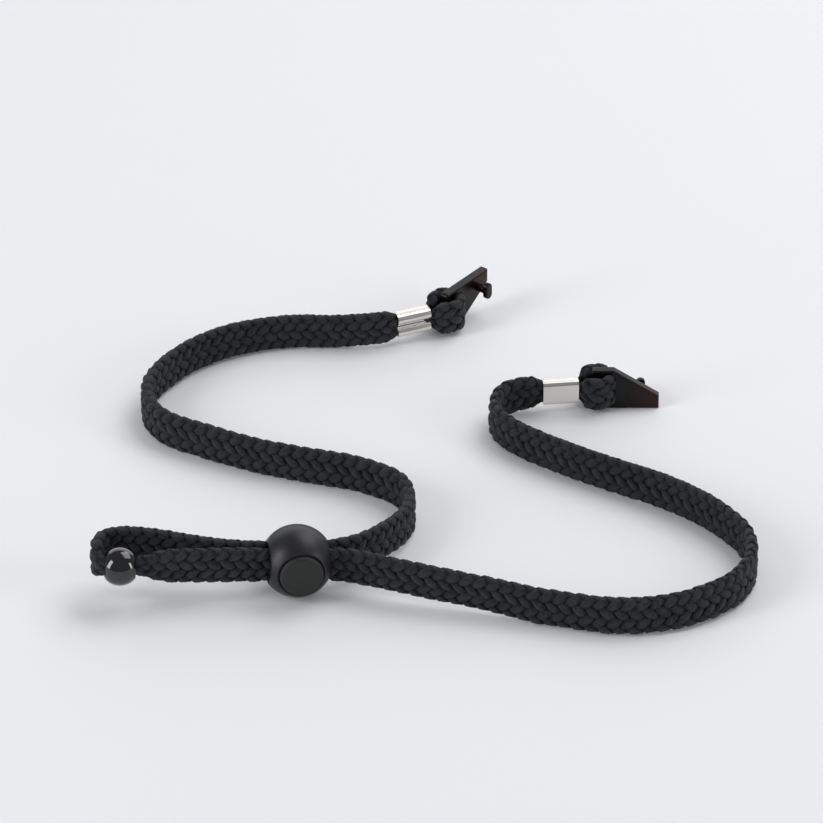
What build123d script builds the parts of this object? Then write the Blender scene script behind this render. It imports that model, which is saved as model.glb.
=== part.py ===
"""Eyeglass retainer strap: flat braid, two clamped ends with temple tabs, a cord-lock toggle and a stopper bead.

Units are millimetres, +Z is up, +X runs to the right along the strap's tail and +Y points away
from the front. The strap lies on the surface z = 0, standing on its edge.
"""
from build123d import *
from math import radians, tan
import os

os.makedirs("parts", exist_ok=True)

# ---- driving dimensions -------------------------------------------------------------------

# flat tubular braid
strap_width = 8.0
strap_thickness = 2.8
strap_corner = 1.0
strap_on_edge = strap_width / 2      # height of the strap's middle where it stands on its edge

# cord lock: a ball with flat ends, through which both strands of the tail pass
toggle_radius = 8.5
toggle_half_width = 6.9
toggle_yaw = 11.0                    # the lock sits a little askew on the tail
tail_yaw = 6.5
tail_pitch = 3.5
toggle_middle = Vector(-21.1, -59.0, toggle_radius)
slot_height = strap_width + 0.2
slot_depth = 2 * strap_thickness + 1.3
slot_corner = 1.2
toggle_end_round = 0.4

# push button of the lock
button_radius = 5.15
button_clearance = 0.08
button_face = 7.2                    # from the ball's middle to the button's face
button_travel = 1.8
button_wall = 0.95                   # thickness of the button's inner end
button_slot_inner = strap_thickness + 0.45
button_slot_outer = strap_thickness + 0.55 + button_travel
button_slot_height = slot_height + 0.2
button_slot_corner = 0.8
button_round = 1.0
bore_mouth_round = 0.4
bore_depth = button_slot_inner + button_wall + button_travel + 0.1

# return spring behind the button
spring_pocket_radius = 2.4
spring_pocket_depth = 1.2
spring_radius = 1.8
spring_wire = 0.36
spring_turns = 2.5
spring_end_gap = 0.02

# stopper bead on the front strand of the tail
bead_radius = 4.55
bead_hole_radius = 2.5
bead_lip = 0.3
bead_station = -41.0                 # along the tail from the lock's middle
pinched_width = 4.8                  # the strap squeezed together in the bead
pinched_thickness = 2.7
fold_run = 5.3                       # from the bead's middle to the corner of the fold
fold_radius = 1.7
core_overrun = 3.9                   # pinched stretch beyond the bead's middle, on the lock's side

# clamped metal ferrules
ferrule_length = 8.6
ferrule_height = 6.2
ferrule_thickness = 3.8
ferrule_back = 2.9                   # thickness of the flat side
ferrule_lobe_offset = 1.75
ferrule_lobe = 1.35
ferrule_corner = 0.9
ferrule_wall = 0.35
ferrule_middle = 5.4                 # height above the surface
seam_gap = 0.3
seam_depth = 2.0
core_height = ferrule_height - 2 * ferrule_wall
core_thickness = 2.3
core_shift = 0.4                     # the hollow sits towards the flat side
core_clearance = 0.02
left_ferrule_start = Vector(1.5, 49.3, ferrule_middle)
left_ferrule_heading = 22.4
right_ferrule_start = Vector(36.8, 18.9, ferrule_middle)
right_ferrule_heading = 6.7
strap_approach = 5.0                 # the strap runs straight into a ferrule over this length

# moulded tabs for the temples of the glasses
tab_thickness = 2.5
tab_height = 10.5
tab_length = 15.1                    # from the bar to the tip
tab_tip_height = 3.4
tab_shoulder = 4.2
tab_rail = 1.2
tab_window = 4.5
tab_window_round = 0.4
tab_bar_radius = 1.2
tab_edge_round = 0.5
tab_tip_rounds = (1.0, 1.5)
tab_shoulder_round = 4.0
tab_rail_round = 0.7
peg_place = (10.8, 3.0)
peg_neck_radius = 1.0
peg_neck_length = 2.6
peg_head_width = 2.2
peg_head_height = 4.2
peg_head_thickness = 1.2
peg_head_round = 0.3
left_bar = Vector(13.9, 56.0, 0)
left_tab_heading = 52.0
right_bar = Vector(49.8, 20.85, 0)
right_tab_heading = 0.0

# strap ends folded round the bars of the tabs
loop_clearance = 0.1
loop_inner = tab_bar_radius + loop_clearance
loop_outer = 4.3
loop_bottom = tab_rail + loop_clearance
loop_top = tab_height - tab_rail - loop_clearance

# ---- directions and places ----------------------------------------------------------------

UP = Vector(0, 0, 1)
tail_direction = Vector(1, 0, 0).rotate(Axis.Y, tail_pitch).rotate(Axis.Z, tail_yaw)
tail_front = Vector(0, -1, 0).rotate(Axis.Z, tail_yaw)
lock_direction = Vector(1, 0, 0).rotate(Axis.Y, tail_pitch).rotate(Axis.Z, toggle_yaw)
button_direction = Vector(0, -1, 0).rotate(Axis.Z, toggle_yaw)
toggle_frame = Plane(origin=toggle_middle, x_dir=lock_direction, z_dir=button_direction)
slot_frame = Plane(origin=toggle_middle, x_dir=button_direction, z_dir=lock_direction)

REAR = -1
FRONT = 1


def strand_point(station, side):
    """Middle of one strand of the tail, at a station along it from the lock's middle."""
    return toggle_middle + tail_direction * station + tail_front * (side * strap_thickness / 2)


def heading_vector(degrees):
    """Level unit vector that points at an angle from +X towards +Y."""
    return Vector(1, 0, 0).rotate(Axis.Z, degrees)


bead_middle = strand_point(bead_station, FRONT)
fold_corner = bead_middle - tail_direction * fold_run

# ---- route of the strap's middle, from the left ferrule to the right one --------------------

left_route = [
    left_ferrule_start,
    left_ferrule_start - heading_vector(left_ferrule_heading) * strap_approach,
    Vector(-12.1, 47.6, 4.7),
    Vector(-26.1, 48.1, strap_on_edge),
    Vector(-41.6, 42.6, strap_on_edge),
    Vector(-53.1, 31.6, strap_on_edge),
    Vector(-59.6, 17.6, strap_on_edge),
    Vector(-55.4, 4.6, strap_on_edge),
    Vector(-44.6, -1.7, strap_on_edge),
    Vector(-31.1, -8.9, strap_on_edge),
    Vector(-17.6, -13.2, strap_on_edge),
    Vector(-5.1, -16.9, strap_on_edge),
    Vector(4.7, -24.4, strap_on_edge),
    Vector(5.1, -36.4, 4.6),
    Vector(-2.1, -48.4, 6.4),
    strand_point(11.0, REAR),
    strand_point(-2.5, REAR),
    strand_point(-9.5, REAR),
    strand_point(-17.5, REAR) + Vector(0, 0.9, 0.2),
    strand_point(-26.0, REAR) + Vector(0, 2.7, 0.55),
    Vector(-53.6, -56.4, 11.15),
    Vector(-60.6, -55.3, 11.2),
    Vector(-65.7, -56.6, 11.3),
    Vector(-67.3, -60.4, 11.3),
]
right_route = [
    bead_middle,
    strand_point(-32.5, FRONT),
    strand_point(-17.0, FRONT),
    strand_point(-2.5, FRONT),
    strand_point(11.0, FRONT),
    Vector(3.9, -63.9, 7.2),
    Vector(21.9, -67.9, 5.6),
    Vector(38.9, -73.2, 4.3),
    Vector(53.9, -76.9, strap_on_edge),
    Vector(69.4, -73.4, strap_on_edge),
    Vector(82.4, -62.9, strap_on_edge),
    Vector(85.1, -47.9, strap_on_edge),
    Vector(77.4, -34.9, strap_on_edge),
    Vector(66.4, -24.7, strap_on_edge),
    Vector(52.9, -16.9, strap_on_edge),
    Vector(40.4, -8.9, strap_on_edge),
    Vector(29.5, -0.4, strap_on_edge),
    Vector(24.6, 7.5, 4.1),
    Vector(26.2, 16.0, 4.6),
    right_ferrule_start - heading_vector(right_ferrule_heading) * strap_approach,
    right_ferrule_start,
]

# where the full-width strap hands over to the pinched stretch, on the run into the fold
fold_joint = left_route[-1] + (fold_corner - left_route[-1]) * 0.44
core_end = bead_middle + tail_direction * core_overrun


def corners_and_radii(route):
    """Corners of a route and the arc that joins the runs at each; points in line are passed over."""
    corners = [route[0]]
    arc_radii = []
    for before, corner, after in zip(route, route[1:], route[2:]):
        turn = (corner - before).get_angle(after - corner)
        if turn < 0.2:
            continue
        shorter_run = min((corner - before).length, (after - corner).length)
        corners.append(corner)
        arc_radii.append(0.45 * shorter_run / tan(radians(turn / 2)))
    corners.append(route[-1])
    return corners, arc_radii


def strap_section(start, along):
    """Plane across the strap, with its x direction through the strap's thickness."""
    return Plane(origin=start, x_dir=UP.cross(along), z_dir=along)


# ---- strap ----------------------------------------------------------------------------------

# a copy of each line straight above it keeps the strap standing on its edge
above = Location((0, 0, 10))

left_corners, left_radii = corners_and_radii(left_route + [fold_joint])
with BuildPart() as strap_left_branch:
    with BuildLine() as left_line:
        FilletPolyline(*left_corners, radius=left_radii)
    with BuildSketch(strap_section(left_corners[0], left_corners[1] - left_corners[0])):
        RectangleRounded(strap_thickness, strap_width, strap_corner)
    sweep(path=left_line.wire(), binormal=left_line.wire().moved(above))

right_corners, right_radii = corners_and_radii(right_route[:0:-1] + [core_end])
with BuildPart() as strap_right_branch:
    with BuildLine() as right_line:
        FilletPolyline(*right_corners, radius=right_radii)
    with BuildSketch(strap_section(right_corners[0], right_corners[1] - right_corners[0])):
        RectangleRounded(strap_thickness, strap_width, strap_corner)
    sweep(path=right_line.wire(), binormal=right_line.wire().moved(above))

with BuildPart() as strap_bead_core:
    with BuildLine() as core_line:
        FilletPolyline(fold_joint, fold_corner, core_end, radius=fold_radius)
    with BuildSketch(strap_section(fold_joint, fold_corner - fold_joint)):
        RectangleRounded(pinched_thickness, pinched_width, strap_corner)
    sweep(path=core_line.wire(), binormal=core_line.wire().moved(above))


def ferrule_frame(start, heading, seam_side):
    """Plane across a ferrule's end: x is up, y points to the side that carries the seam."""
    if seam_side == FRONT:
        return Plane(origin=start, x_dir=UP, z_dir=heading_vector(heading))
    return Plane(origin=start, x_dir=-UP, z_dir=heading_vector(heading))


def build_strap_end(start, heading, seam_side, bar):
    """Strap end: two layers inside the ferrule, then one turn round the bar of the tab."""
    along = heading_vector(heading)
    mouth = start + along * (ferrule_length + core_clearance) - UP * ferrule_middle
    half_mouth = UP.cross(along) * core_thickness / 2
    with BuildPart() as strap_end:
        with BuildSketch(Plane.XY.offset(loop_bottom)):
            with BuildLine():
                CenterArc(bar, loop_outer, 0, 360)
                Line(mouth - half_mouth, mouth + half_mouth)
            make_hull()
            with Locations((bar.X, bar.Y)):
                Circle(loop_inner, mode=Mode.SUBTRACT)
        extrude(amount=loop_top - loop_bottom)
        with BuildSketch(ferrule_frame(start, heading, seam_side)):
            with Locations((0, -core_shift)):
                RectangleRounded(core_height - core_clearance, core_thickness - core_clearance, strap_corner - 0.1)
        extrude(amount=ferrule_length + 2 * core_clearance)
    return strap_end


strap_left_end = build_strap_end(left_ferrule_start, left_ferrule_heading, FRONT, left_bar)
strap_right_end = build_strap_end(right_ferrule_start, right_ferrule_heading, REAR, right_bar)

# ---- cord lock ------------------------------------------------------------------------------

with BuildPart(toggle_frame) as toggle_body:
    Sphere(toggle_radius)
    Box(2 * toggle_half_width, 2 * toggle_radius, 2 * toggle_radius, mode=Mode.INTERSECT)
    end_rims = toggle_body.edges().filter_by(GeomType.CIRCLE)
    fillet(end_rims, toggle_end_round)
    with BuildSketch(slot_frame):
        RectangleRounded(slot_depth, slot_height, slot_corner)
    extrude(amount=toggle_radius, both=True, mode=Mode.SUBTRACT)
    with BuildSketch(toggle_frame.offset(-bore_depth)):
        Circle(button_radius + button_clearance)
    extrude(amount=bore_depth + toggle_radius, mode=Mode.SUBTRACT)
    mouth_edges = toggle_body.edges().filter_by(GeomType.CIRCLE).sort_by(Axis(toggle_middle, button_direction))
    fillet(mouth_edges[-1], bore_mouth_round)
    with BuildSketch(toggle_frame.offset(-bore_depth)):
        Circle(spring_pocket_radius)
    extrude(amount=-spring_pocket_depth, mode=Mode.SUBTRACT)

button_inner_end = button_slot_inner + button_wall
with BuildPart(toggle_frame) as toggle_button:
    with BuildSketch(toggle_frame.offset(-button_inner_end)):
        Circle(button_radius)
    extrude(amount=button_inner_end + button_face)
    rims = toggle_button.edges().filter_by(GeomType.CIRCLE).sort_by(Axis(toggle_middle, button_direction))
    fillet(rims[-1], button_round)
    with BuildSketch(slot_frame):
        with Locations(((button_slot_outer - button_slot_inner) / 2, 0)):
            RectangleRounded(button_slot_outer + button_slot_inner, button_slot_height, button_slot_corner)
    extrude(amount=toggle_radius, both=True, mode=Mode.SUBTRACT)

spring_floor = bore_depth + spring_pocket_depth - spring_end_gap - spring_wire / 2
spring_ceiling = button_inner_end + spring_end_gap + spring_wire / 2
spring_height = spring_floor - spring_ceiling
spring_base = toggle_middle - button_direction * spring_floor
with BuildPart() as toggle_spring:
    with BuildLine() as coil:
        Helix(spring_height / spring_turns, spring_height, spring_radius, spring_base, button_direction)
    coil_wire = coil.wire()
    with BuildSketch(Plane(origin=coil_wire @ 0, z_dir=coil_wire % 0)):
        Circle(spring_wire / 2)
    sweep(path=coil_wire, is_frenet=True)

# ---- stopper bead -----------------------------------------------------------------------------

bead_frame = Plane(origin=bead_middle, x_dir=tail_front, z_dir=tail_direction)
with BuildPart(bead_frame) as stopper_bead:
    Sphere(bead_radius)
    Cylinder(bead_hole_radius, 2 * bead_radius, mode=Mode.SUBTRACT)
    fillet(stopper_bead.edges().filter_by(GeomType.CIRCLE), bead_lip)

# ---- ferrules -----------------------------------------------------------------------------------


def build_ferrule(start, heading, seam_side):
    """Metal clamp: flat on one side, two lobes and a seam on the other, open at both ends."""
    with BuildPart() as ferrule:
        with BuildSketch(ferrule_frame(start, heading, seam_side)) as clamp_section:
            with Locations((0, (ferrule_back - ferrule_thickness) / 2)):
                RectangleRounded(ferrule_height, ferrule_back, ferrule_corner)
            with Locations((-ferrule_lobe_offset, ferrule_thickness / 2 - ferrule_lobe)):
                Circle(ferrule_lobe)
            with Locations((ferrule_lobe_offset, ferrule_thickness / 2 - ferrule_lobe)):
                Circle(ferrule_lobe)
            with Locations((0, -core_shift)):
                RectangleRounded(core_height, core_thickness, strap_corner - 0.1, mode=Mode.SUBTRACT)
            with Locations((0, ferrule_thickness / 2 - seam_depth / 2 + 0.2)):
                Rectangle(seam_gap, seam_depth, mode=Mode.SUBTRACT)
        extrude(amount=ferrule_length)
    return ferrule


left_ferrule = build_ferrule(left_ferrule_start, left_ferrule_heading, FRONT)
right_ferrule = build_ferrule(right_ferrule_start, right_ferrule_heading, REAR)

# ---- temple tabs ----------------------------------------------------------------------------------


def build_tab(frame):
    """Moulded tab: x runs from the bar to the tip, y across from the level edge; the peg is on -z."""
    with BuildPart(frame) as tab:
        with BuildSketch(frame) as outline:
            with BuildLine():
                Polyline(
                    (-tab_rail, 0),
                    (tab_length, 0),
                    (tab_length, tab_tip_height),
                    (tab_shoulder, tab_height),
                    (-tab_rail, tab_height),
                    close=True,
                )
            make_face()
            corners = outline.vertices().sort_by(Axis.X)
            fillet(corners[:2], tab_rail_round)
            fillet(corners[2], tab_shoulder_round)
            for corner, size in zip(corners[3:].sort_by(Axis.Y), tab_tip_rounds):
                fillet(corner, size)
        extrude(amount=tab_thickness / 2, both=True)
        broad_faces = tab.faces().sort_by(Axis(frame.origin, frame.z_dir))
        fillet(broad_faces[0].edges() + broad_faces[-1].edges(), tab_edge_round)
        with BuildSketch(frame):
            window_width = tab_window + 2 * tab_rail
            with Locations((tab_window - window_width / 2, tab_height / 2)):
                RectangleRounded(window_width, tab_height - 2 * tab_rail, tab_window_round)
        extrude(amount=tab_thickness, both=True, mode=Mode.SUBTRACT)
        with BuildSketch(Plane(origin=frame.from_local_coords((0, tab_rail / 2, 0)), z_dir=frame.y_dir)):
            Circle(tab_bar_radius)
        extrude(amount=tab_height - tab_rail)
        with BuildSketch(frame):
            with Locations(peg_place):
                Circle(peg_neck_radius)
        extrude(amount=-(tab_thickness / 2 + peg_neck_length))
        with BuildSketch(frame.offset(-(tab_thickness / 2 + peg_neck_length))):
            with Locations(peg_place):
                SlotOverall(peg_head_height, peg_head_width, rotation=90)
        extrude(amount=-peg_head_thickness)
        head_face = tab.faces().sort_by(Axis(frame.origin, frame.z_dir))[0]
        fillet(head_face.edges(), peg_head_round)
    return tab


left_along = heading_vector(left_tab_heading)
left_tab_frame = Plane(origin=left_bar + UP * tab_height, x_dir=left_along, z_dir=UP.cross(left_along))
left_temple_tab = build_tab(left_tab_frame)

right_along = heading_vector(right_tab_heading)
right_tab_frame = Plane(origin=right_bar, x_dir=right_along, z_dir=right_along.cross(UP))
right_temple_tab = build_tab(right_tab_frame)

# ---- names and files --------------------------------------------------------------------------------

strap_left_branch.part.label = "strap_left_branch"
export_step(strap_left_branch.part, "parts/strap_left_branch.step")
strap_right_branch.part.label = "strap_right_branch"
export_step(strap_right_branch.part, "parts/strap_right_branch.step")
strap_bead_core.part.label = "strap_bead_core"
export_step(strap_bead_core.part, "parts/strap_bead_core.step")
strap_left_end.part.label = "strap_left_end"
export_step(strap_left_end.part, "parts/strap_left_end.step")
strap_right_end.part.label = "strap_right_end"
export_step(strap_right_end.part, "parts/strap_right_end.step")
toggle_body.part.label = "toggle_body"
export_step(toggle_body.part, "parts/toggle_body.step")
toggle_button.part.label = "toggle_button"
export_step(toggle_button.part, "parts/toggle_button.step")
toggle_spring.part.label = "toggle_spring"
export_step(toggle_spring.part, "parts/toggle_spring.step")
stopper_bead.part.label = "stopper_bead"
export_step(stopper_bead.part, "parts/stopper_bead.step")
left_ferrule.part.label = "left_ferrule"
export_step(left_ferrule.part, "parts/left_ferrule.step")
right_ferrule.part.label = "right_ferrule"
export_step(right_ferrule.part, "parts/right_ferrule.step")
left_temple_tab.part.label = "left_temple_tab"
export_step(left_temple_tab.part, "parts/left_temple_tab.step")
right_temple_tab.part.label = "right_temple_tab"
export_step(right_temple_tab.part, "parts/right_temple_tab.step")
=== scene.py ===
"""Eyeglass retainer strap: the looks of the braid, the cord lock, the bead, the ferrules and the tabs.

The file is laid out as an add-on and run as a script. Lengths are in metres, in the frame of the
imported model; sizes that read better in millimetres are written as a number times MM.
"""
import math

import bpy
import numpy as np
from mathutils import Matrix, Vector


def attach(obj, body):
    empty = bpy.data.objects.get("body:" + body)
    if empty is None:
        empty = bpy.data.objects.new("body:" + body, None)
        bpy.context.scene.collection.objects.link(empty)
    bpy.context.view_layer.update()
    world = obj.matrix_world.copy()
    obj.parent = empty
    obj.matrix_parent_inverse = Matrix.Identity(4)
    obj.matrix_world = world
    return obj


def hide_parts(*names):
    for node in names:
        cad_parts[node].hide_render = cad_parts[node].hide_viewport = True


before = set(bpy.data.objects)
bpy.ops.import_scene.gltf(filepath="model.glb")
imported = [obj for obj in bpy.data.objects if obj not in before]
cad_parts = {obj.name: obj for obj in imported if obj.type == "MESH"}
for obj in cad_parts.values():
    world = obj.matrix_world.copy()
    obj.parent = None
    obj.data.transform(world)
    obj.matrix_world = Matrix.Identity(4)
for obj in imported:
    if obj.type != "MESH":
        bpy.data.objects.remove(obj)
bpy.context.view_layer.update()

bl_info = {
    "name": "Eyeglass retainer strap",
    "version": (1, 0, 0),
    "blender": (4, 5, 0),
    "location": "3D View > Sidebar > Strap",
    "description": "Braided retainer strap with a cord lock, a stopper bead and two temple tabs",
    "category": "Object",
}

MM = 0.001
UP = np.array([0.0, 0.0, 1.0])
AWAY = np.array([0.0, 1.0, 0.0])


def colour(code):
    """Linear colour for an sRGB hex value."""
    channels = [int(code[k:k + 2], 16) / 255 for k in (1, 3, 5)]
    return tuple(c / 12.92 if c <= 0.04045 else ((c + 0.055) / 1.055) ** 2.4 for c in channels)


def opaque(code):
    """The same colour with an alpha of one, as a node's socket takes it."""
    return (*colour(code), 1.0)


# ---- places and the strap's route ---------------------------------------------------------------

TOGGLE_MIDDLE = np.array([-21.1, -59.0, 8.5]) * MM
TAIL_YAW = math.radians(6.5)
TAIL_PITCH = math.radians(3.5)
TAIL = np.array([
    math.cos(TAIL_YAW) * math.cos(TAIL_PITCH),
    math.sin(TAIL_YAW) * math.cos(TAIL_PITCH),
    -math.sin(TAIL_PITCH),
])
TAIL_FRONT = np.array([math.sin(TAIL_YAW), -math.cos(TAIL_YAW), 0.0])
STRAND_OFFSET = 1.4 * MM
FRONT = 1
REAR = -1
ON_EDGE = 4.0


def strand_point(station, side):
    """Middle of one strand of the tail, at a station in millimetres from the lock's middle."""
    return TOGGLE_MIDDLE + TAIL * station * MM + TAIL_FRONT * side * STRAND_OFFSET


def place(x, y, z):
    """A point given in millimetres."""
    return np.array([x, y, z]) * MM


def level(degrees):
    """Level unit vector at an angle from +X towards +Y."""
    return np.array([math.cos(math.radians(degrees)), math.sin(math.radians(degrees)), 0.0])


LEFT_FERRULE = place(1.5, 49.3, 5.4)
LEFT_HEADING = level(22.4)
LEFT_BAR = place(13.9, 56.0, 5.4)
RIGHT_FERRULE = place(36.8, 18.9, 5.4)
RIGHT_HEADING = level(6.7)
RIGHT_BAR = place(49.8, 20.85, 5.4)
FERRULE_LENGTH = 8.6 * MM
APPROACH = 5.0 * MM

BEAD_MIDDLE = strand_point(-41.0, FRONT)
FOLD_CORNER = BEAD_MIDDLE - TAIL * 5.3 * MM

ROUTE = [
    LEFT_FERRULE,
    LEFT_FERRULE - LEFT_HEADING * APPROACH,
    place(-12.1, 47.6, 4.7),
    place(-26.1, 48.1, ON_EDGE),
    place(-41.6, 42.6, ON_EDGE),
    place(-53.1, 31.6, ON_EDGE),
    place(-59.6, 17.6, ON_EDGE),
    place(-55.4, 4.6, ON_EDGE),
    place(-44.6, -1.7, ON_EDGE),
    place(-31.1, -8.9, ON_EDGE),
    place(-17.6, -13.2, ON_EDGE),
    place(-5.1, -16.9, ON_EDGE),
    place(4.7, -24.4, ON_EDGE),
    place(5.1, -36.4, 4.6),
    place(-2.1, -48.4, 6.4),
    strand_point(11.0, REAR),
    strand_point(-2.5, REAR),
    strand_point(-9.5, REAR),
    strand_point(-17.5, REAR) + place(0, 0.9, 0.2),
    strand_point(-26.0, REAR) + place(0, 2.7, 0.55),
    place(-53.6, -56.4, 11.15),
    place(-60.6, -55.3, 11.2),
    place(-65.7, -56.6, 11.3),
    place(-67.3, -60.4, 11.3),
    FOLD_CORNER,
    BEAD_MIDDLE,
    strand_point(-32.5, FRONT),
    strand_point(-17.0, FRONT),
    strand_point(-2.5, FRONT),
    strand_point(11.0, FRONT),
    place(3.9, -63.9, 7.2),
    place(21.9, -67.9, 5.6),
    place(38.9, -73.2, 4.3),
    place(53.9, -76.9, ON_EDGE),
    place(69.4, -73.4, ON_EDGE),
    place(82.4, -62.9, ON_EDGE),
    place(85.1, -47.9, ON_EDGE),
    place(77.4, -34.9, ON_EDGE),
    place(66.4, -24.7, ON_EDGE),
    place(52.9, -16.9, ON_EDGE),
    place(40.4, -8.9, ON_EDGE),
    place(29.5, -0.4, ON_EDGE),
    place(24.6, 7.5, 4.1),
    place(26.2, 16.0, 4.6),
    RIGHT_FERRULE - RIGHT_HEADING * APPROACH,
    RIGHT_FERRULE,
]


# ---- settings -------------------------------------------------------------------------------------

def length_setting(name, text, value):
    """A length in metres, shown in the scene's units."""
    return bpy.props.FloatProperty(name=name, description=text, default=value, unit="LENGTH")


def colour_setting(name, text, code):
    """A colour, with its default given as an sRGB hex value."""
    return bpy.props.FloatVectorProperty(
        name=name, description=text, default=colour(code), subtype="COLOR", min=0.0, max=1.0)


class StrapSettings(bpy.types.PropertyGroup):
    """Sizes and colours of the braid."""
    width: length_setting("Width", "Width of the flat braid over its crowns", 9.0 * MM)
    thickness: length_setting("Thickness", "Thickness of the flat braid over its crowns", 3.1 * MM)
    lay: length_setting("Lay", "Length in which a yarn goes once round the braid", 25.6 * MM)
    yarn_width: length_setting("Yarn width", "Width of a yarn where it lies on top", 2.2 * MM)
    yarn_thickness: length_setting("Yarn thickness", "Thickness of a yarn where it lies on top", 1.3 * MM)
    carriers: bpy.props.IntProperty(
        name="Yarns", description="Yarns of each hand in the braid", default=8, min=4, max=16)
    yarn_sides: bpy.props.IntProperty(
        name="Sides", description="Faces round one yarn", default=8, min=5, max=16)
    # painted shade: this dark colour is laid into the braid's valleys and down the yarns' flanks; the light
    # colour below is the yarn's own
    dark: colour_setting("Painted valley shade", "Colour in the valleys of the braid", "#050507")
    light: colour_setting("Light yarn", "Colour on the crowns of the braid", "#2A2C32")


class HardwareSettings(bpy.types.PropertyGroup):
    """Colours of the moulded and metal pieces."""
    lock: colour_setting("Lock", "Moulded body of the cord lock", "#1A1A1D")
    button: colour_setting("Button", "Push button of the cord lock", "#262725")
    bead: colour_setting("Bead", "Polished stopper bead", "#060607")
    nickel: colour_setting("Ferrules", "Nickel plate of the ferrules", "#DFDBD5")
    tab: colour_setting("Tabs", "Smoked plastic of the temple tabs", "#0D0C0A")
    # painted glint: the reddish colour the tabs take on towards their tips stands for light showing red at
    # the tab's end beside the temple
    painted_tip_glint: colour_setting("Tab tips", "Painted reddish glint of the tabs towards their tips", "#26110F")


class StageSettings(bpy.types.PropertyGroup):
    """Camera and surface."""
    floor: colour_setting("Surface", "Matt surface under the strap", "#F1F2F5")
    distance: length_setting("Camera distance", "From the camera to the point it looks at", 1.6)
    height_angle: bpy.props.FloatProperty(
        name="Camera angle", description="Angle at which the camera looks down",
        default=math.radians(32.5), subtype="ANGLE")


# ---- small helpers ----------------------------------------------------------------------------------

def link(obj):
    """Puts a new object into the scene."""
    bpy.context.scene.collection.objects.link(obj)
    return obj


def add_node(tree, kind, settings=None, inputs=None):
    """Adds a node; inputs maps a socket's name or number to a value or to another node's output."""
    node = tree.nodes.new(kind)
    for name, value in (settings or {}).items():
        setattr(node, name, value)
    for key, value in (inputs or {}).items():
        if isinstance(value, bpy.types.NodeSocket):
            tree.links.new(value, node.inputs[key])
        else:
            node.inputs[key].default_value = value
    return node


def new_material(name):
    """An empty node material and its output node."""
    material = bpy.data.materials.new(name)
    material.use_nodes = True
    material.node_tree.nodes.clear()
    output = add_node(material.node_tree, "ShaderNodeOutputMaterial")
    return material, material.node_tree, output


def finish_surface(tree, output, shader):
    """Joins a shader to the material's output."""
    tree.links.new(shader.outputs["BSDF"], output.inputs["Surface"])


def smooth_between(x, stations, values):
    """Values at x, eased from one station to the next."""
    stations = np.asarray(stations, float)
    values = np.asarray(values, float)
    k = np.clip(np.searchsorted(stations, x, side="right") - 1, 0, len(stations) - 2)
    t = np.clip((x - stations[k]) / (stations[k + 1] - stations[k]), 0.0, 1.0)
    t = t * t * (3 - 2 * t)
    return values[k] * (1 - t) + values[k + 1] * t


# ---- the line that the strap follows ------------------------------------------------------------------

def spline_points(points, name):
    """Points read from the smooth spline that has the given points as its control points."""
    data = bpy.data.curves.new(name, "CURVE")
    data.dimensions = "3D"
    data.resolution_u = 48
    spline = data.splines.new("NURBS")
    spline.points.add(len(points) - 1)
    for target, point in zip(spline.points, points):
        target.co = (*point, 1.0)
    spline.order_u = 3
    spline.use_endpoint_u = True
    obj = link(bpy.data.objects.new(name, data))
    mesh = bpy.data.meshes.new_from_object(obj)
    line = np.array([v.co for v in mesh.vertices])
    bpy.data.objects.remove(obj)
    bpy.data.meshes.remove(mesh)
    bpy.data.curves.remove(data)
    return line


def distances(line):
    """Distance along a line to each of its points."""
    return np.concatenate([[0.0], np.cumsum(np.linalg.norm(np.diff(line, axis=0), axis=1))])


def nearest_distance(line, point):
    """Distance along a line to the point on it that is nearest to a place."""
    return distances(line)[np.argmin(np.linalg.norm(line - point, axis=1))]


class Ribbon:
    """A line with the flat braid's section along it: its width, its thickness and its lean."""

    def __init__(self, line, keys):
        self.line = line
        self.along = distances(line)
        self.length = self.along[-1]
        tangent = np.gradient(line, self.along, axis=0)
        self.tangent = tangent / np.linalg.norm(tangent, axis=1)[:, None]
        self.keys = np.array(keys, float)

    def frame_at(self, s):
        """Middle, side and upright vectors, width and thickness at distances along the line."""
        middle = np.stack([np.interp(s, self.along, self.line[:, k]) for k in range(3)], 1)
        tangent = np.stack([np.interp(s, self.along, self.tangent[:, k]) for k in range(3)], 1)
        tangent /= np.linalg.norm(tangent, axis=1)[:, None]
        width, thickness, lean = (smooth_between(s, self.keys[:, 0], self.keys[:, k]) for k in (1, 2, 3))
        upright = UP + np.tan(np.radians(lean))[:, None] * AWAY
        upright = upright - tangent * np.sum(upright * tangent, axis=1)[:, None]
        upright /= np.linalg.norm(upright, axis=1)[:, None]
        side = np.cross(upright, tangent)
        reach = np.abs(upright[:, 2]) * width / 2 + np.abs(side[:, 2]) * thickness / 2
        middle[:, 2] += np.maximum(0.0, reach - middle[:, 2])
        return middle, side, upright, width, thickness


# ---- braid ------------------------------------------------------------------------------------------

COLUMNS = 8              # columns of stitches round the braid
COLUMN_SHIFT = 0.25      # puts two crossings into each column of stitches
POINT_STEP = 0.42 * MM
CROWN_ROUNDNESS = 0.6    # how softly a crown turns into a dip
REFERENCE = 0.4 * MM     # outside the middle surface, where a turn is shared out by length
LIFT = 0.36              # rise of a crown and fall of a dip, as a share of the yarn's thickness
EDGE_CALM = 0.5          # share of that rise which is lost at the braid's edges
SLIMMING = 0.36          # share of its girth that a yarn loses in a dip
UNEVENNESS = 0.07 * MM   # a yarn lies this much higher or lower from place to place
UNEVEN_GIRTH = 0.05      # and is this share thicker or thinner
WANDER_STEP = 6          # points of a yarn from one of its random levels to the next
SQUEEZED = 2.4 * MM      # the yarns are squeezed where the braid is thinner than this
LEAST_SQUEEZE = 0.35


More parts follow.
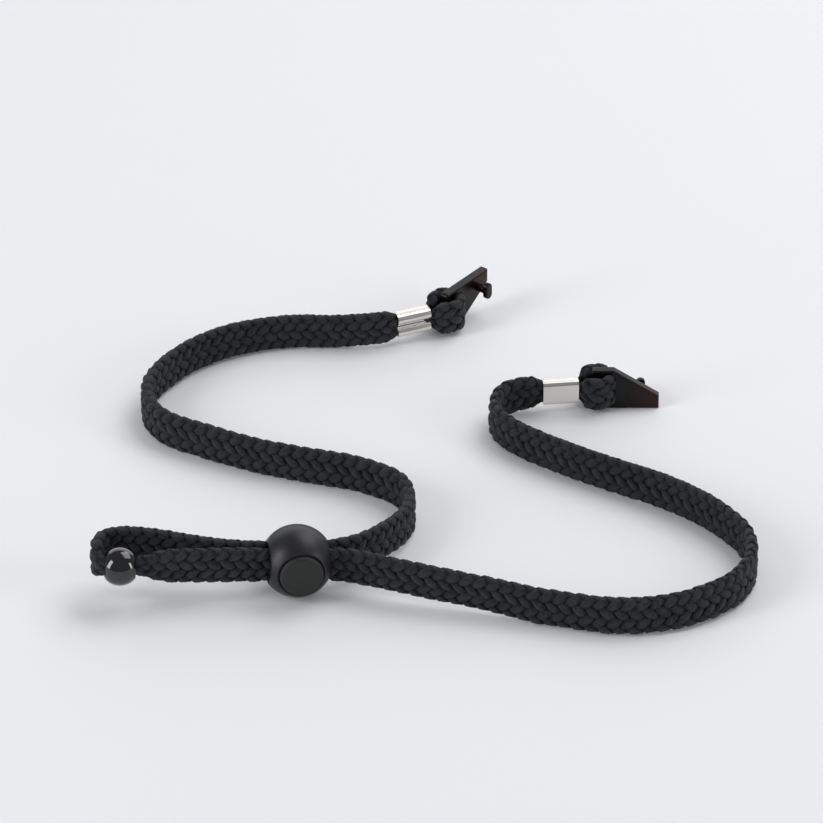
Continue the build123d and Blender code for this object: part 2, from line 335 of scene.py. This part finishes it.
def stadium(turn, width, thickness, inset, edge_inset, reference):
    """Point and outward direction on a flattened tube, at a fraction of a turn round it.

    The tube's middle surface lies within the braid's outside by one inset on its broad sides and by
    another at its edges. The turn is shared out by length at a line that lies outside that surface
    by the reference distance.
    """
    radius = np.maximum(thickness / 2 - inset, 0.15 * MM)
    straight = np.maximum(width / 2 - edge_inset - radius, 0.1 * MM)
    shared = radius + reference
    quarter_arc = math.pi * shared / 2
    total = 4 * straight + 4 * quarter_arc
    arc = (turn % 1.0) * total
    side_a = arc < straight
    cap_a = ~side_a & (arc < straight + 2 * quarter_arc)
    side_b = ~side_a & ~cap_a & (arc < 3 * straight + 2 * quarter_arc)
    cap_b = ~side_a & ~cap_a & ~side_b & (arc < 3 * straight + 4 * quarter_arc)
    angle = np.where(cap_a, (arc - straight) / shared, 0.0)
    angle = np.where(side_b, math.pi, angle)
    angle = np.where(cap_b, math.pi + (arc - 3 * straight - 2 * quarter_arc) / shared, angle)
    upward = np.where(side_a, arc, 0.0)
    upward = np.where(cap_a, straight, upward)
    upward = np.where(side_b, straight - (arc - straight - 2 * quarter_arc), upward)
    upward = np.where(cap_b, -straight, upward)
    last = ~(side_a | cap_a | side_b | cap_b)
    upward = np.where(last, arc - total, upward)
    across, over = np.cos(angle), np.sin(angle)
    return radius * across, upward + radius * over, across, over


def wander(count, seed):
    """One value from -1 to 1 for each point of a yarn, drifting between random levels."""
    levels = np.random.default_rng(seed).uniform(-1.0, 1.0, count // WANDER_STEP + 2)
    return np.interp(np.arange(count) / WANDER_STEP, np.arange(len(levels)), levels)


def yarn_points(ribbon, hand, start_turn, settings, seed):
    """Middle line, outward direction, crown height, shade and girth of one yarn of the braid."""
    count = int(ribbon.length / POINT_STEP) + 2
    s = np.linspace(0.0, ribbon.length, count)
    middle, side, upright, width, thickness = ribbon.frame_at(s)
    turn = hand * s / settings.lay + start_turn
    wave = hand * np.cos(math.pi * (COLUMNS * turn + COLUMN_SHIFT))
    crown = np.tanh(CROWN_ROUNDNESS * wave) / math.tanh(CROWN_ROUNDNESS)
    squeeze = np.clip(thickness / SQUEEZED, LEAST_SQUEEZE, 1.0)
    lift = LIFT * settings.yarn_thickness * squeeze
    inset = settings.yarn_thickness / 2 * squeeze + lift
    edge_inset = settings.yarn_thickness / 2 * squeeze + lift * (1 - EDGE_CALM)
    x, y, nx, ny = stadium(turn, width, thickness, inset, edge_inset, REFERENCE)
    shade = wander(count, seed)
    lift = crown * lift * (1 - EDGE_CALM * np.abs(ny)) + UNEVENNESS * squeeze * shade
    outward = side * nx[:, None] + upright * ny[:, None]
    points = middle + side * x[:, None] + upright * y[:, None] + outward * lift[:, None]
    girth = squeeze * (1 + SLIMMING * (wave - 1) / 2 + UNEVEN_GIRTH * shade)
    return points, outward, crown, shade, girth


def braid_lines(name, ribbon, settings, seed):
    """Mesh of edges with one chain for each yarn, and what its surface needs to know."""
    chains = []
    for hand in (1, -1):
        for k in range(settings.carriers):
            chains.append(yarn_points(
                ribbon, hand, k / settings.carriers, settings, seed + 10 * k + hand))
    points = np.concatenate([c[0] for c in chains])
    edges = []
    start = 0
    for chain in chains:
        count = len(chain[0])
        index = np.arange(start, start + count - 1)
        edges.append(np.stack([index, index + 1], 1))
        start += count
    mesh = bpy.data.meshes.new(name)
    mesh.from_pydata(points.tolist(), np.concatenate(edges).tolist(), [])
    for label, kind, values in (
        ("outward", "FLOAT_VECTOR", np.concatenate([c[1] for c in chains])),
        ("crown", "FLOAT", np.concatenate([c[2] for c in chains])),
        ("shade", "FLOAT", np.concatenate([c[3] for c in chains])),
        ("girth", "FLOAT", np.concatenate([c[4] for c in chains])),
        ("along", "FLOAT", np.concatenate([distances(c[0]) for c in chains])),
    ):
        field = mesh.attributes.new(label, kind, "POINT")
        member = "vector" if kind == "FLOAT_VECTOR" else "value"
        field.data.foreach_set(member, values.ravel().astype(np.float32))
    return link(bpy.data.objects.new(name, mesh))


def yarn_tree():
    """Geometry nodes that give every chain of edges the body of a yarn."""
    tree = bpy.data.node_groups.new("Yarn bodies", "GeometryNodeTree")
    tree.interface.new_socket("Geometry", in_out="INPUT", socket_type="NodeSocketGeometry")
    for label in ("Yarn width", "Yarn thickness"):
        socket = tree.interface.new_socket(label, in_out="INPUT", socket_type="NodeSocketFloat")
        socket.subtype = "DISTANCE"
    tree.interface.new_socket("Sides", in_out="INPUT", socket_type="NodeSocketInt")
    tree.interface.new_socket("Finish", in_out="INPUT", socket_type="NodeSocketMaterial")
    tree.interface.new_socket("Geometry", in_out="OUTPUT", socket_type="NodeSocketGeometry")
    given = add_node(tree, "NodeGroupInput").outputs
    chains = add_node(tree, "GeometryNodeMeshToCurve", {}, {"Mesh": given["Geometry"]})
    outward = add_node(tree, "GeometryNodeInputNamedAttribute", {"data_type": "FLOAT_VECTOR"}, {
        "Name": "outward"})
    turned = add_node(tree, "GeometryNodeSetCurveNormal", {"mode": "FREE"}, {
        "Curve": chains.outputs["Curve"], "Normal": outward.outputs["Attribute"]})
    ring = add_node(tree, "GeometryNodeCurvePrimitiveCircle", {"mode": "RADIUS"}, {
        "Resolution": given["Sides"], "Radius": 0.5})
    corner = add_node(tree, "GeometryNodeInputPosition")
    stored = {"data_type": "FLOAT_VECTOR", "domain": "POINT"}
    marked = add_node(tree, "GeometryNodeStoreNamedAttribute", stored, {
        "Geometry": ring.outputs["Curve"], "Name": "around", "Value": corner.outputs["Position"]})
    size = add_node(tree, "ShaderNodeCombineXYZ", {}, {
        "X": given["Yarn thickness"], "Y": given["Yarn width"], "Z": 1.0})
    section = add_node(tree, "GeometryNodeTransform", {}, {
        "Geometry": marked.outputs["Geometry"], "Scale": size.outputs["Vector"]})
    girth = add_node(tree, "GeometryNodeInputNamedAttribute", {"data_type": "FLOAT"}, {"Name": "girth"})
    bodies = add_node(tree, "GeometryNodeCurveToMesh", {}, {
        "Curve": turned.outputs["Curve"], "Profile Curve": section.outputs["Geometry"],
        "Scale": girth.outputs["Attribute"], "Fill Caps": True})
    smooth = add_node(tree, "GeometryNodeSetShadeSmooth", {}, {"Geometry": bodies.outputs["Mesh"]})
    plain = add_node(tree, "GeometryNodeRealizeInstances", {}, {"Geometry": smooth.outputs["Geometry"]})
    dressed = add_node(tree, "GeometryNodeSetMaterial", {}, {
        "Geometry": plain.outputs["Geometry"], "Material": given["Finish"]})
    add_node(tree, "NodeGroupOutput", {}, {"Geometry": dressed.outputs["Geometry"]})
    return tree


def clothe(obj, tree, settings, material):
    """Runs the yarn tree on a mesh of chains and keeps its result as a plain mesh."""
    modifier = obj.modifiers.new("Yarns", "NODES")
    modifier.node_group = tree
    values = {
        "Yarn width": settings.yarn_width,
        "Yarn thickness": settings.yarn_thickness,
        "Sides": settings.yarn_sides,
        "Finish": material,
    }
    for item in tree.interface.items_tree:
        if item.in_out == "INPUT" and item.name in values:
            modifier[item.identifier] = values[item.name]
    bpy.context.view_layer.update()
    evaluated = obj.evaluated_get(bpy.context.evaluated_depsgraph_get())
    mesh = bpy.data.meshes.new_from_object(evaluated)
    mesh.name = obj.name
    obj.modifiers.remove(modifier)
    chains = obj.data
    obj.data = mesh
    bpy.data.meshes.remove(chains)
    return obj


def braid_material(settings):
    """Polyester multifilament braid: soft sheen on the crowns, painted shade in the valleys and on the
    yarns' flanks, fine filaments along every yarn.
    """
    material, tree, output = new_material("Braided polyester, charcoal, matt")
    crown = add_node(tree, "ShaderNodeAttribute", {"attribute_name": "crown"})
    shade = add_node(tree, "ShaderNodeAttribute", {"attribute_name": "shade"})
    around = add_node(tree, "ShaderNodeAttribute", {"attribute_name": "around"})
    along = add_node(tree, "ShaderNodeAttribute", {"attribute_name": "along"})
    place_round = add_node(tree, "ShaderNodeSeparateXYZ", {}, {"Vector": around.outputs["Vector"]})
    # painted shade: the colour darkens from the crowns, where a yarn faces outward, into the valleys and
    # down the yarns' flanks; the noise flecks added to it are the yarn's own random tone
    rise = add_node(tree, "ShaderNodeMath", {"operation": "MULTIPLY_ADD"}, {
        0: crown.outputs["Fac"], 1: LIFT, 2: place_round.outputs["X"]})
    height = add_node(tree, "ShaderNodeMapRange", {}, {
        "Value": rise.outputs[0], "From Min": 0.25, "From Max": 0.5 + LIFT, "To Min": 0.0, "To Max": 0.9})
    where = add_node(tree, "ShaderNodeTexCoord")
    fleck = add_node(tree, "ShaderNodeTexNoise", {}, {
        "Vector": where.outputs["Object"], "Scale": 1 / (0.7 * MM), "Detail": 2.0, "Roughness": 0.7})
    flecked = add_node(tree, "ShaderNodeMapRange", {}, {
        "Value": fleck.outputs["Fac"], "From Min": 0.3, "From Max": 0.7, "To Min": -0.55, "To Max": 0.55})
    fleck_and_painted_shade = add_node(tree, "ShaderNodeMath", {"operation": "ADD"}, {
        0: flecked.outputs["Result"], 1: height.outputs["Result"]})
    tone_and_painted_shade = add_node(tree, "ShaderNodeMath", {"operation": "MULTIPLY_ADD", "use_clamp": True}, {
        0: shade.outputs["Fac"], 1: 0.2, 2: fleck_and_painted_shade.outputs[0]})
    base = add_node(tree, "ShaderNodeMix", {"data_type": "RGBA"}, {
        "Factor": tone_and_painted_shade.outputs[0], 6: (*settings.dark, 1.0), 7: (*settings.light, 1.0)})
    # seven filament ridges are drawn across a yarn: the real ones are finer than can be seen
    ridges = add_node(tree, "ShaderNodeMath", {"operation": "MULTIPLY"}, {
        0: place_round.outputs["Y"], 1: 7 * math.tau})
    twist = add_node(tree, "ShaderNodeMath", {"operation": "MULTIPLY_ADD"}, {
        0: along.outputs["Fac"], 1: math.tau / (1.6 * MM), 2: ridges.outputs[0]})
    wave = add_node(tree, "ShaderNodeMath", {"operation": "SINE"}, {0: twist.outputs[0]})
    lint = add_node(tree, "ShaderNodeTexNoise", {}, {
        "Vector": where.outputs["Object"], "Scale": 1 / (0.35 * MM), "Detail": 3.0, "Roughness": 0.6})
    relief = add_node(tree, "ShaderNodeMath", {"operation": "MULTIPLY_ADD"}, {
        0: lint.outputs["Fac"], 1: 2.0, 2: wave.outputs[0]})
    bump = add_node(tree, "ShaderNodeBump", {}, {
        "Strength": 0.9, "Distance": 0.06 * MM, "Height": relief.outputs[0]})
    shader = add_node(tree, "ShaderNodeBsdfPrincipled", {}, {
        "Base Color": base.outputs[2], "Roughness": 0.72, "IOR": 1.5, "Normal": bump.outputs["Normal"],
        "Sheen Weight": 0.06, "Sheen Roughness": 0.5, "Specular IOR Level": 0.34})
    finish_surface(tree, output, shader)
    return material


def profile_keys(length, pinches, width, thickness, leans):
    """Stations with width, thickness and lean; a pinch is (station, half length, ease, width, thickness)."""
    stations = set(np.linspace(0.0, length, 24).tolist())
    for middle, half, ease, _, _ in pinches:
        stations.update((middle - half - ease, middle - half, middle + half, middle + half + ease))
    stations = sorted(s for s in stations if -1 * MM <= s <= length + 1 * MM)
    lean_at = smooth_between(np.array(stations), [k[0] for k in leans], [k[1] for k in leans])
    rows = []
    for s, lean in zip(stations, lean_at):
        w, t = width, thickness
        for middle, half, ease, pinched_w, pinched_t in pinches:
            near = min(max((abs(s - middle) - half) / ease, 0.0), 1.0)
            w = min(w, pinched_w + (width - pinched_w) * near)
            t = min(t, pinched_t + (thickness - pinched_t) * near)
        rows.append((s, w, t, lean))
    return rows


class STRAP_OT_braid(bpy.types.Operator):
    """Braids the strap from one ferrule, through the lock and the bead, to the other ferrule"""
    bl_idname = "strap.braid"
    bl_label = "Braid"

    def execute(self, context):
        settings = context.scene.strap_braid
        tree = yarn_tree()
        material = braid_material(settings)
        line = spline_points(ROUTE, "strap_route")
        split = int(np.argmin(np.linalg.norm(line - BEAD_MIDDLE, axis=1)))
        left, right = line[:split + 1], line[split:]
        plain = (settings.width, settings.thickness)
        for name, part, nodes, ferrule_at_start, leans in (
            ("braid_left", left, ("strap_left_branch", "strap_bead_core"), True,
             [(0.0, 0.0), (0.25, 10.0), (0.6, 12.0), (0.78, 6.0), (0.84, 0.0), (1.0, 0.0)]),
            ("braid_right", right, ("strap_right_branch",), False,
             [(0.0, 0.0), (0.2, 0.0), (0.3, 0.0), (0.42, 12.0), (0.62, 12.0), (0.9, 12.0), (1.0, 0.0)]),
        ):
            length = distances(part)[-1]
            lock = nearest_distance(part, strand_point(0.0, REAR if ferrule_at_start else FRONT))
            ferrule, bead = (0.0, length) if ferrule_at_start else (length, 0.0)
            bead_ease = (4.5 if ferrule_at_start else 9.0) * MM
            pinches = [
                (lock, 6.0 * MM, 3.0 * MM, 8.1 * MM, 2.9 * MM),
                (bead, 3.4 * MM, bead_ease, 4.9 * MM, 2.5 * MM),
                (ferrule, 0.2 * MM, 3.0 * MM, 6.2 * MM, 2.6 * MM),
            ]
            keys = profile_keys(length, pinches, *plain, [(f * length, a) for f, a in leans])
            piece = braid_lines(name, Ribbon(part, keys), settings, 100 if ferrule_at_start else 500)
            clothe(piece, tree, settings, material)
            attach(piece, "strap")
            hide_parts(*nodes)
        return {"FINISHED"}


LOOP_RADIUS = 3.4 * MM       # from the tab's bar to the middle of the strap
LOOP_HALF_GAP = 0.62 * MM    # between the two layers in the ferrule's mouth
LOOP_INSIDE = 1.6 * MM       # length that is hidden in the ferrule


def loop_keys(length):
    """Width and thickness along a folded end: flat in the ferrule, full round the tab's bar."""
    half = [
        (0.0, 4.2, 0.9),
        (1.8, 4.6, 1.0),
        (4.6, 8.8, 3.0),
        (length / 2 / MM - 3.0, 8.8, 3.0),
    ]
    middle = [(length / 2 / MM, 8.2, 3.0)]
    other = [(length / MM - s, w, t) for s, w, t in reversed(half)]
    return [(s * MM, w * MM, t * MM, 0.0) for s, w, t in half + middle + other]


class STRAP_OT_end_loops(bpy.types.Operator):
    """Folds each end of the strap out of its ferrule and round the bar of its tab"""
    bl_idname = "strap.end_loops"
    bl_label = "End loops"

    def execute(self, context):
        settings = context.scene.strap_braid
        tree = bpy.data.node_groups["Yarn bodies"]
        material = bpy.data.materials["Braided polyester, charcoal, matt"]
        for name, node, start, heading, bar in (
            ("loop_left", "strap_left_end", LEFT_FERRULE, LEFT_HEADING, LEFT_BAR),
            ("loop_right", "strap_right_end", RIGHT_FERRULE, RIGHT_HEADING, RIGHT_BAR),
        ):
            mouth = start + heading * FERRULE_LENGTH
            outward = (bar - mouth) / np.linalg.norm(bar - mouth)
            across = np.cross(UP, outward)
            corner_radius = LOOP_RADIUS / math.cos(math.radians(22.5))
            inside = heading * LOOP_INSIDE
            gap = np.cross(UP, heading) * LOOP_HALF_GAP
            points = [mouth - inside + gap, mouth + gap]
            for angle in (112.5, 67.5, 22.5, -22.5, -67.5, -112.5):
                a = math.radians(angle)
                points.append(bar + corner_radius * (outward * math.cos(a) + across * math.sin(a)))
            points += [mouth - gap, mouth - inside - gap]
            line = spline_points(points, name + "_route")
            keys = loop_keys(distances(line)[-1])
            piece = braid_lines(name, Ribbon(line, keys), settings, 900)
            clothe(piece, tree, settings, material)
            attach(piece, "strap")
            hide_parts(node)
        return {"FINISHED"}


# ---- moulded and metal pieces -----------------------------------------------------------------------

def moulded_material(name, base_colour, roughness, grain, relief, specular):
    """Injection-moulded plastic with a fine spark-eroded grain that breaks the highlight up softly."""
    material, tree, output = new_material(name)
    where = add_node(tree, "ShaderNodeTexCoord")
    fine = add_node(tree, "ShaderNodeTexNoise", {}, {
        "Vector": where.outputs["Object"], "Scale": 1 / grain, "Detail": 4.0, "Roughness": 0.55})
    broad = add_node(tree, "ShaderNodeTexNoise", {}, {
        "Vector": where.outputs["Object"], "Scale": 1 / (6 * MM), "Detail": 2.0})
    tone = add_node(tree, "ShaderNodeMix", {"data_type": "RGBA"}, {
        "Factor": broad.outputs["Fac"],
        6: (*[c * 0.9 for c in base_colour], 1.0), 7: (*[min(1.0, c * 1.1) for c in base_colour], 1.0)})
    rough = add_node(tree, "ShaderNodeMapRange", {}, {
        "Value": fine.outputs["Fac"], "From Min": 0.3, "From Max": 0.7,
        "To Min": roughness - 0.05, "To Max": roughness + 0.05})
    bump = add_node(tree, "ShaderNodeBump", {}, {
        "Strength": 0.4, "Distance": relief, "Height": fine.outputs["Fac"]})
    shader = add_node(tree, "ShaderNodeBsdfPrincipled", {}, {
        "Base Color": tone.outputs[2], "Roughness": rough.outputs["Result"], "IOR": 1.54,
        "Specular IOR Level": specular, "Normal": bump.outputs["Normal"]})
    finish_surface(tree, output, shader)
    return material


def polished_material(base_colour):
    """Polished acrylic: nearly black, with a clear hard gloss that mirrors the lamps."""
    material, tree, output = new_material("Acrylic, black, polished")
    where = add_node(tree, "ShaderNodeTexCoord")
    swirl = add_node(tree, "ShaderNodeTexNoise", {}, {
        "Vector": where.outputs["Object"], "Scale": 1 / (1.5 * MM), "Detail": 3.0})
    rough = add_node(tree, "ShaderNodeMapRange", {}, {
        "Value": swirl.outputs["Fac"], "From Min": 0.3, "From Max": 0.7, "To Min": 0.06, "To Max": 0.11})
    tone = add_node(tree, "ShaderNodeMix", {"data_type": "RGBA"}, {
        "Factor": swirl.outputs["Fac"],
        6: (*base_colour, 1.0), 7: (*[c * 1.35 for c in base_colour], 1.0)})
    shader = add_node(tree, "ShaderNodeBsdfPrincipled", {}, {
        "Base Color": tone.outputs[2], "Roughness": rough.outputs["Result"], "IOR": 1.49,
        "Coat Weight": 0.6, "Coat Roughness": 0.03})
    finish_surface(tree, output, shader)
    return material


def nickel_material(base_colour):
    """Nickel-plated brass, rolled and crimped: satin with fine lines along the sheet."""
    material, tree, output = new_material("Nickel plate, satin")
    where = add_node(tree, "ShaderNodeTexCoord")
    stretched = add_node(tree, "ShaderNodeMapping", {}, {
        "Vector": where.outputs["Object"], "Scale": (1 / (2.5 * MM), 1 / (2.5 * MM), 1 / (0.12 * MM))})
    lines = add_node(tree, "ShaderNodeTexNoise", {}, {
        "Vector": stretched.outputs["Vector"], "Scale": 1.0, "Detail": 3.0})
    rough = add_node(tree, "ShaderNodeMapRange", {}, {
        "Value": lines.outputs["Fac"], "From Min": 0.3, "From Max": 0.7, "To Min": 0.18, "To Max": 0.25})
    bump = add_node(tree, "ShaderNodeBump", {}, {
        "Strength": 0.03, "Distance": 0.01 * MM, "Height": lines.outputs["Fac"]})
    shader = add_node(tree, "ShaderNodeBsdfPrincipled", {}, {
        "Base Color": (*base_colour, 1.0), "Metallic": 1.0, "Roughness": rough.outputs["Result"],
        "Normal": bump.outputs["Normal"]})
    finish_surface(tree, output, shader)
    return material


def smoked_material(base_colour, painted_glint_colour, bar):
    """Smoked polyurethane: glossy, slightly clear, with a painted reddish glint that grows towards the tip.
    """
    material, tree, output = new_material("Polyurethane, smoked, glossy")
    where = add_node(tree, "ShaderNodeTexCoord")
    reach = add_node(tree, "ShaderNodeVectorMath", {"operation": "DISTANCE"}, {
        0: where.outputs["Object"], 1: tuple(bar)})
    # painted glint: from 8 to 13 mm off the bar the colour turns towards the reddish tip colour
    tip = add_node(tree, "ShaderNodeMapRange", {}, {
        "Value": reach.outputs["Value"], "From Min": 8 * MM, "From Max": 13 * MM})
    cloud = add_node(tree, "ShaderNodeTexNoise", {}, {
        "Vector": where.outputs["Object"], "Scale": 1 / (5 * MM), "Detail": 2.0})
    tone = add_node(tree, "ShaderNodeMix", {"data_type": "RGBA"}, {
        "Factor": cloud.outputs["Fac"],
        6: (*base_colour, 1.0), 7: (*[c * 1.3 for c in base_colour], 1.0)})
    glint_painted_colour = add_node(tree, "ShaderNodeMix", {"data_type": "RGBA"}, {
        "Factor": tip.outputs["Result"], 6: tone.outputs[2], 7: (*painted_glint_colour, 1.0)})
    fine = add_node(tree, "ShaderNodeTexNoise", {}, {
        "Vector": where.outputs["Object"], "Scale": 1 / (0.4 * MM), "Detail": 3.0})
    bump = add_node(tree, "ShaderNodeBump", {}, {
        "Strength": 0.15, "Distance": 0.02 * MM, "Height": fine.outputs["Fac"]})
    shader = add_node(tree, "ShaderNodeBsdfPrincipled", {}, {
        "Base Color": glint_painted_colour.outputs[2], "Roughness": 0.24, "IOR": 1.5, "Specular IOR Level": 0.2,
        "Normal": bump.outputs["Normal"]})
    finish_surface(tree, output, shader)
    return material


def dress(node, material):
    """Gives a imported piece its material."""
    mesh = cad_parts[node].data
    mesh.materials.clear()
    mesh.materials.append(material)


class STRAP_OT_lock(bpy.types.Operator):
    """Finishes the cord lock: its body, its button and its spring"""
    bl_idname = "strap.lock"
    bl_label = "Cord lock"

    def execute(self, context):
        settings = context.scene.strap_hardware
        dress("toggle_body", moulded_material(
            "ABS, dark grey, satin moulded", settings.lock, 0.42, 0.25 * MM, 0.02 * MM, 0.36))
        dress("toggle_button", moulded_material(
            "ABS, grey, matt moulded", settings.button, 0.58, 0.2 * MM, 0.02 * MM, 0.3))
        dress("toggle_spring", nickel_material(colour("#B9B7B2")))
        return {"FINISHED"}


class STRAP_OT_bead(bpy.types.Operator):
    """Finishes the stopper bead"""
    bl_idname = "strap.bead"
    bl_label = "Stopper bead"

    def execute(self, context):
        dress("stopper_bead", polished_material(context.scene.strap_hardware.bead))
        return {"FINISHED"}


class STRAP_OT_ferrules(bpy.types.Operator):
    """Finishes the two clamped ferrules"""
    bl_idname = "strap.ferrules"
    bl_label = "Ferrules"

    def execute(self, context):
        material = nickel_material(context.scene.strap_hardware.nickel)
        for node in ("left_ferrule", "right_ferrule"):
            dress(node, material)
        return {"FINISHED"}


class STRAP_OT_tabs(bpy.types.Operator):
    """Finishes the two temple tabs"""
    bl_idname = "strap.tabs"
    bl_label = "Temple tabs"

    def execute(self, context):
        settings = context.scene.strap_hardware
        for node, bar in (("left_temple_tab", LEFT_BAR), ("right_temple_tab", RIGHT_BAR)):
            dress(node, smoked_material(settings.tab, settings.painted_tip_glint, bar))
        return {"FINISHED"}


# ---- stage --------------------------------------------------------------------------------------------

def area_lamp(name, place_at, aim, size, power, tint="#FFFFFF"):
    """A rectangular soft lamp that faces a point."""
    data = bpy.data.lights.new(name, "AREA")
    data.shape = "RECTANGLE"
    data.size, data.size_y = size
    data.energy = power
    data.color = colour(tint)
    obj = link(bpy.data.objects.new(name, data))
    obj.location = place_at
    obj.rotation_euler = (Vector(aim) - Vector(place_at)).to_track_quat("-Z", "Y").to_euler()
    return obj


class STRAP_OT_stage(bpy.types.Operator):
    """Sets the surface, the soft lamps, the even surroundings and the camera"""
    bl_idname = "strap.stage"
    bl_label = "Stage"

    def execute(self, context):
        settings = context.scene.strap_stage
        half = 3.0
        mesh = bpy.data.meshes.new("surface")
        corners = [(-half, -half, 0), (half, -half, 0), (half, half, 0), (-half, half, 0)]
        mesh.from_pydata(corners, [], [(0, 1, 2, 3)])
        surface = link(bpy.data.objects.new("surface", mesh))
        material, tree, output = new_material("Paper sweep, matt")
        where = add_node(tree, "ShaderNodeTexCoord")
        fibre = add_node(tree, "ShaderNodeTexNoise", {}, {
            "Vector": where.outputs["Object"], "Scale": 1 / (40 * MM), "Detail": 2.0})
        tone = add_node(tree, "ShaderNodeMix", {"data_type": "RGBA"}, {
            "Factor": fibre.outputs["Fac"],
            6: (*settings.floor, 1.0), 7: (*[c * 0.995 for c in settings.floor], 1.0)})
        shader = add_node(tree, "ShaderNodeBsdfPrincipled", {}, {
            "Base Color": tone.outputs[2], "Roughness": 0.8, "Specular IOR Level": 0.2})
        finish_surface(tree, output, shader)
        mesh.materials.append(material)

        area_lamp("lamp_above", (0.53, 0.41, 1.0), (0.0, 0.0, 0.0), (0.95, 0.8), 6.6)
        area_lamp("lamp_left", (-0.90, -0.38, 0.42), (0.0, 0.0, 0.0), (0.35, 0.75), 5.4)
        area_lamp("lamp_right", (0.92, -0.36, 0.28), (0.0, 0.0, 0.0), (0.2, 0.55), 2.4)
        area_lamp("lamp_back", (0.0, 1.6, 0.75), (0.0, 0.0, 0.1), (3.0, 1.1), 11.2)
        world = bpy.data.worlds.new("surroundings")
        context.scene.world = world
        world.use_nodes = True
        sky = world.node_tree.nodes["Background"]
        sky.inputs["Color"].default_value = opaque("#F4F6FA")
        sky.inputs["Strength"].default_value = 0.32
        context.scene.view_settings.view_transform = "Standard"

        target = Vector((5.3 * MM, 18.3 * MM, 0.0))
        angle = settings.height_angle
        camera_data = bpy.data.cameras.new("camera")
        camera_data.sensor_width = 36.0
        camera_data.lens = 290.45
        camera_data.clip_end = 20.0
        camera = link(bpy.data.objects.new("camera", camera_data))
        camera.location = target + Vector((0.0, -math.cos(angle), math.sin(angle))) * settings.distance
        camera.rotation_euler = (math.pi / 2 - angle, 0.0, 0.0)
        context.scene.camera = camera
        return {"FINISHED"}


class STRAP_PT_panel(bpy.types.Panel):
    """Sizes, colours and steps of the retainer strap"""
    bl_idname = "STRAP_PT_panel"
    bl_label = "Retainer strap"
    bl_space_type = "VIEW_3D"
    bl_region_type = "UI"
    bl_category = "Strap"

    def draw(self, context):
        for group in (context.scene.strap_braid, context.scene.strap_hardware, context.scene.strap_stage):
            for name in group.__annotations__:
                self.layout.prop(group, name)
        for step in STEPS:
            self.layout.operator(step.bl_idname)


STEPS = (
    STRAP_OT_braid,
    STRAP_OT_end_loops,
    STRAP_OT_lock,
    STRAP_OT_bead,
    STRAP_OT_ferrules,
    STRAP_OT_tabs,
    STRAP_OT_stage,
)
CLASSES = (StrapSettings, HardwareSettings, StageSettings, *STEPS, STRAP_PT_panel)


def register():
    for cls in CLASSES:
        bpy.utils.register_class(cls)
    bpy.types.Scene.strap_braid = bpy.props.PointerProperty(type=StrapSettings)
    bpy.types.Scene.strap_hardware = bpy.props.PointerProperty(type=HardwareSettings)
    bpy.types.Scene.strap_stage = bpy.props.PointerProperty(type=StageSettings)


def unregister():
    del bpy.types.Scene.strap_stage
    del bpy.types.Scene.strap_hardware
    del bpy.types.Scene.strap_braid
    for cls in reversed(CLASSES):
        bpy.utils.unregister_class(cls)


def main():
    register()
    for step in STEPS:
        group, name = step.bl_idname.split(".")
        if getattr(getattr(bpy.ops, group), name)() != {"FINISHED"}:
            raise RuntimeError(step.bl_label + " did not finish")


if __name__ == "__main__":
    main()
